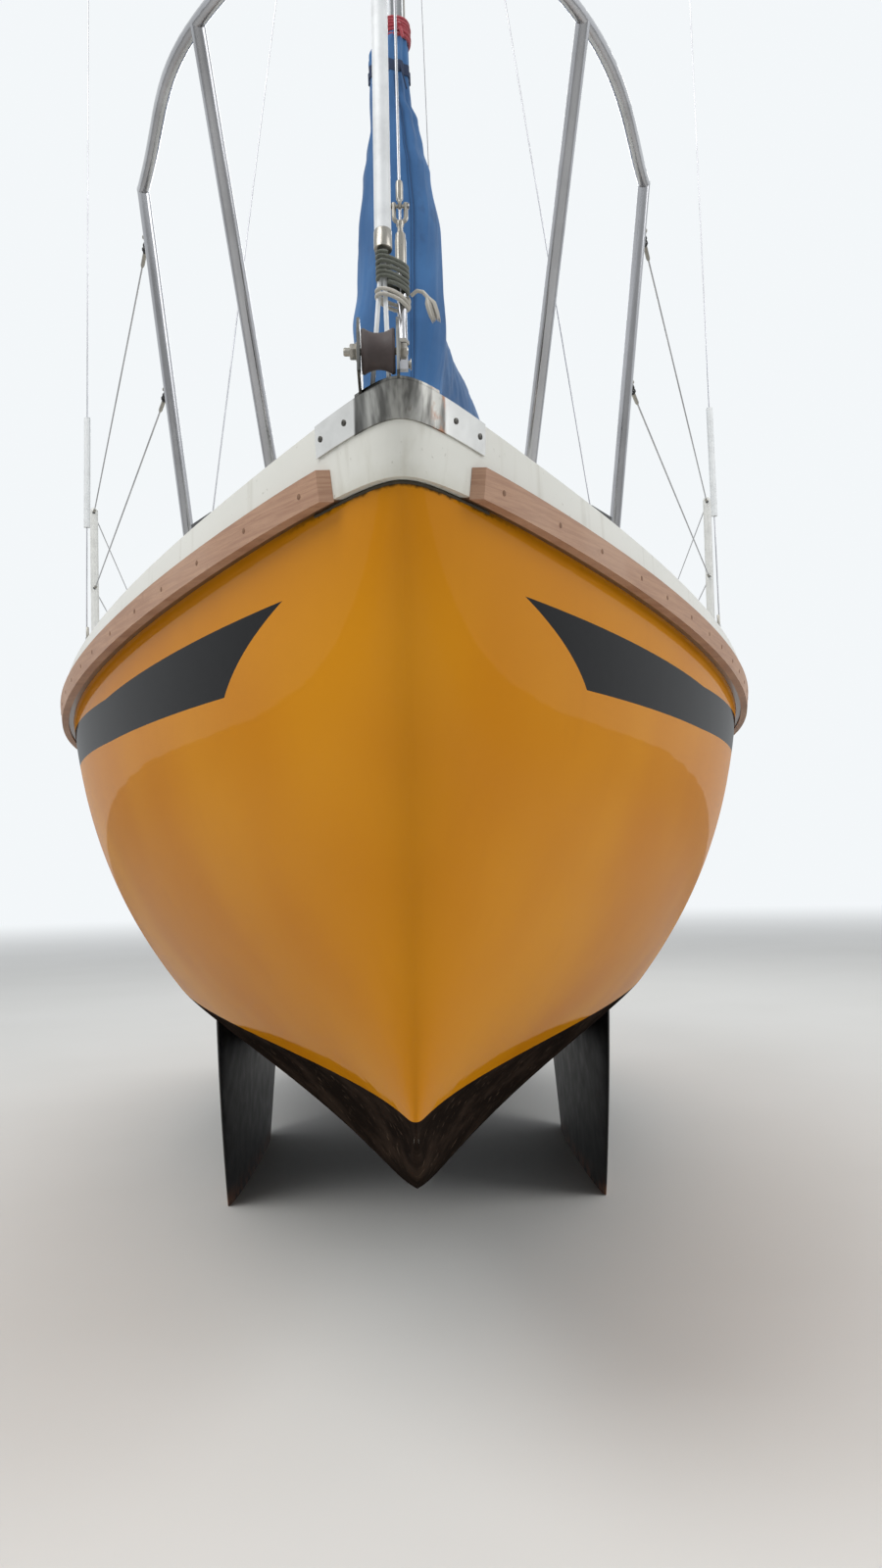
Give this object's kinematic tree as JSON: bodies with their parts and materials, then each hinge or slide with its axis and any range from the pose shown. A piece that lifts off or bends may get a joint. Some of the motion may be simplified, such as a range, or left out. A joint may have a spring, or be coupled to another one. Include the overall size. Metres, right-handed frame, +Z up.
{
  "type": "cabin sailboat",
  "caption": "Small moulded cabin sailboat standing on bilge keels, with pulpit, wooden rubbing strakes, stayed mast, covered boom, tiller and outboard rudder.",
  "frame": {"origin": "on the floor between the keel soles, under the middle of the boat's length", "axes": "+X to the bow, +Y to port, +Z up along the mast"},
  "size_m": [7.3019, 2.5944, 10.614],
  "materials": {
    "gelcoat_yellow": "gloss",
    "gelcoat_white": "satin",
    "inner_white": "matte",
    "teak": "matte",
    "stainless": "polished",
    "white_metal": "satin",
    "spar_alloy": "satin",
    "black_plastic": "matte",
    "white_plastic": "satin",
    "rudder_plastic": "satin",
    "keel_iron": "matte",
    "rubber": "matte",
    "canvas": "matte",
    "acrylic": "gloss"
  },
  "bodies": {
    "boat": {"backstay": "stainless", "berth_moulding": "inner_white", "bow_band": "stainless", "bow_fitting": "stainless", "bulkhead": "inner_white", "cap_shroud_port": "stainless", "cap_shroud_starboard": "stainless", "chainplate_cap_port": "stainless", "chainplate_cap_starboard": "stainless", "cleat_bow": "spar_alloy", "cleat_stern_port": "spar_alloy", "cleat_stern_starboard": "spar_alloy", "deck_moulding": "gelcoat_white", "fairlead_port": "black_plastic", "fairlead_starboard": "black_plastic", "forestay": "stainless", "grab_rail_port": "teak", "grab_rail_starboard": "teak", "guard_wire_lower_port": "stainless", "guard_wire_lower_starboard": "stainless", "guard_wire_upper_port": "stainless", "guard_wire_upper_starboard": "stainless", "gudgeon_lower": "stainless", "gudgeon_upper": "stainless", "hull": "gelcoat_yellow", "keel_port": "keel_iron", "keel_starboard": "keel_iron", "lower_shroud_port": "stainless", "lower_shroud_starboard": "stainless", "luff_spar": "white_plastic", "mast": "spar_alloy", "mast_step": "spar_alloy", "pulpit": "stainless", "pushpit": "stainless", "sail_cover_mast": "canvas", "shroud_tube_port": "white_plastic", "shroud_tube_starboard": "white_plastic", "spreader_port": "spar_alloy", "spreader_starboard": "spar_alloy", "stanchion_aft_port": "white_metal", "stanchion_aft_starboard": "white_metal", "stanchion_front_port": "white_metal", "stanchion_front_starboard": "white_metal", "strake_port": "teak", "strake_starboard": "teak", "winch_port": "stainless", "winch_starboard": "stainless", "window_port": "acrylic", "window_starboard": "acrylic"},
    "rudder": {"rudder": "rudder_plastic"},
    "tiller": {"tiller": "teak"},
    "boom": {"boom": "spar_alloy", "sail_cover_boom": "canvas"},
    "bow_roller": {"bow_roller": "rubber"},
    "fore_hatch": {"fore_hatch": "gelcoat_white"},
    "sliding_hatch": {"sliding_hatch": "gelcoat_white"},
    "door_port": {"door_port": "teak"},
    "door_starboard": {"door_starboard": "teak"},
    "locker_lid_port": {"locker_lid_port": "gelcoat_white"},
    "locker_lid_starboard": {"locker_lid_starboard": "gelcoat_white"}
  },
  "joints": [
    {"name": "rudder_turn", "type": "hinge", "parent": "boat", "child": "rudder", "pos_m": [-3.33, 0, 0.9], "axis": [-0.1513, 0, 0.9885], "range_deg": [-38, 38]},
    {"name": "tiller_lift", "type": "hinge", "parent": "rudder", "child": "tiller", "pos_m": [-3.57944, 0, 1.90179], "axis": [0, -1, 0], "range_deg": [0, 35]},
    {"name": "boom_swing", "type": "hinge", "parent": "boat", "child": "boom", "pos_m": [0.958, 0, 3.15], "axis": [0, 0, 1], "range_deg": [-63, 87]},
    {"name": "bow_roller_turn", "type": "hinge", "parent": "boat", "child": "bow_roller", "pos_m": [3.4, -0.032, 2.0935], "axis": [0, 1, 0], "continuous": true},
    {"name": "fore_hatch_open", "type": "hinge", "parent": "boat", "child": "fore_hatch", "pos_m": [2.405, 0, 1.9303], "axis": [0, 1, 0], "range_deg": [0, 100]},
    {"name": "sliding_hatch_slide", "type": "slide", "parent": "boat", "child": "sliding_hatch", "axis": [1, 0, 0], "range_m": [0, 0.6]},
    {"name": "door_port_open", "type": "hinge", "parent": "boat", "child": "door_port", "pos_m": [-1.3453, 0.318, 1.9], "axis": [0, 0, -1], "range_deg": [0, 170]},
    {"name": "locker_lid_port_open", "type": "hinge", "parent": "boat", "child": "locker_lid_port", "pos_m": [-2.3, 0.63, 1.522], "axis": [-1, 0, 0], "range_deg": [0, 80]},
    {"name": "door_starboard_open", "type": "hinge", "parent": "boat", "child": "door_starboard", "pos_m": [-1.3453, -0.318, 1.9], "axis": [0, 0, 1], "range_deg": [0, 170]},
    {"name": "locker_lid_starboard_open", "type": "hinge", "parent": "boat", "child": "locker_lid_starboard", "pos_m": [-2.3, -0.63, 1.522], "axis": [1, 0, 0], "range_deg": [0, 80]}
  ]
}
